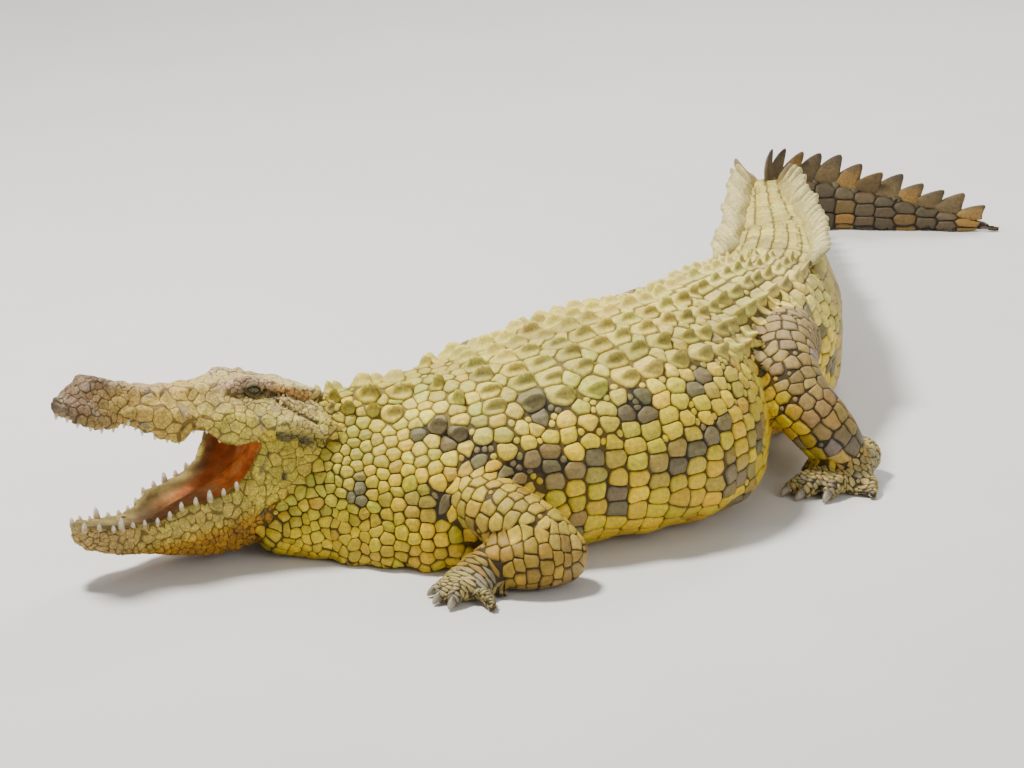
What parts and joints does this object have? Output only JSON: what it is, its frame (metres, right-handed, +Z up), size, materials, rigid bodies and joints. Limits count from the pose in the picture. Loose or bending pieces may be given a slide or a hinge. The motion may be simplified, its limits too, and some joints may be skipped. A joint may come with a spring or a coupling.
{
  "type": "nile crocodile",
  "caption": "Adult Nile crocodile resting on its belly with the mouth open, trunk bent and tail end turned to the side, as a still life-size display model.",
  "frame": {"origin": "centre of the bounding box, on the ground", "axes": "+Z up; +Y away from the viewer who sees the animal's left side, along the straight part of the tail; +X to that viewer's right, with the snout towards -X"},
  "size_m": [2.0294, 2.626, 0.3937],
  "materials": {
    "head": "horny skin with cracked plates",
    "lower_jaw": "horny skin with cracked plates, ivory teeth",
    "tongue": "moist pink-orange",
    "eye": "wet, olive-green iris with a slit pupil",
    "neck": "scaly",
    "trunk": "scaly, yellow flanks with dark blotches",
    "tail": "scaly, keeled crests",
    "limb": "scaly",
    "foot": "finely scaled",
    "claw": "horn"
  },
  "bodies": {
    "root": {"head": "head", "lower_jaw": "lower_jaw", "tongue": "tongue", "eye_left": "eye", "eye_right": "eye", "neck": "neck", "trunk_shoulder": "trunk", "trunk_middle": "trunk", "trunk_hip": "trunk", "tail_1": "tail", "tail_2": "tail", "tail_3": "tail", "tail_4": "tail", "tail_5": "tail", "tail_6": "tail", "tail_7": "tail", "upper_arm_left": "limb", "forearm_left": "limb", "hand_left": "foot", "thigh_left": "limb", "shank_left": "limb", "foot_left": "foot", "claw_hand_left_1": "claw", "claw_hand_left_2": "claw", "claw_hand_left_3": "claw", "claw_foot_left_1": "claw", "claw_foot_left_2": "claw", "claw_foot_left_3": "claw", "upper_arm_right": "limb", "forearm_right": "limb", "hand_right": "foot", "thigh_right": "limb", "shank_right": "limb", "foot_right": "foot", "claw_hand_right_1": "claw", "claw_hand_right_2": "claw", "claw_hand_right_3": "claw", "claw_foot_right_1": "claw", "claw_foot_right_2": "claw", "claw_foot_right_3": "claw"}
  },
  "joints": []
}
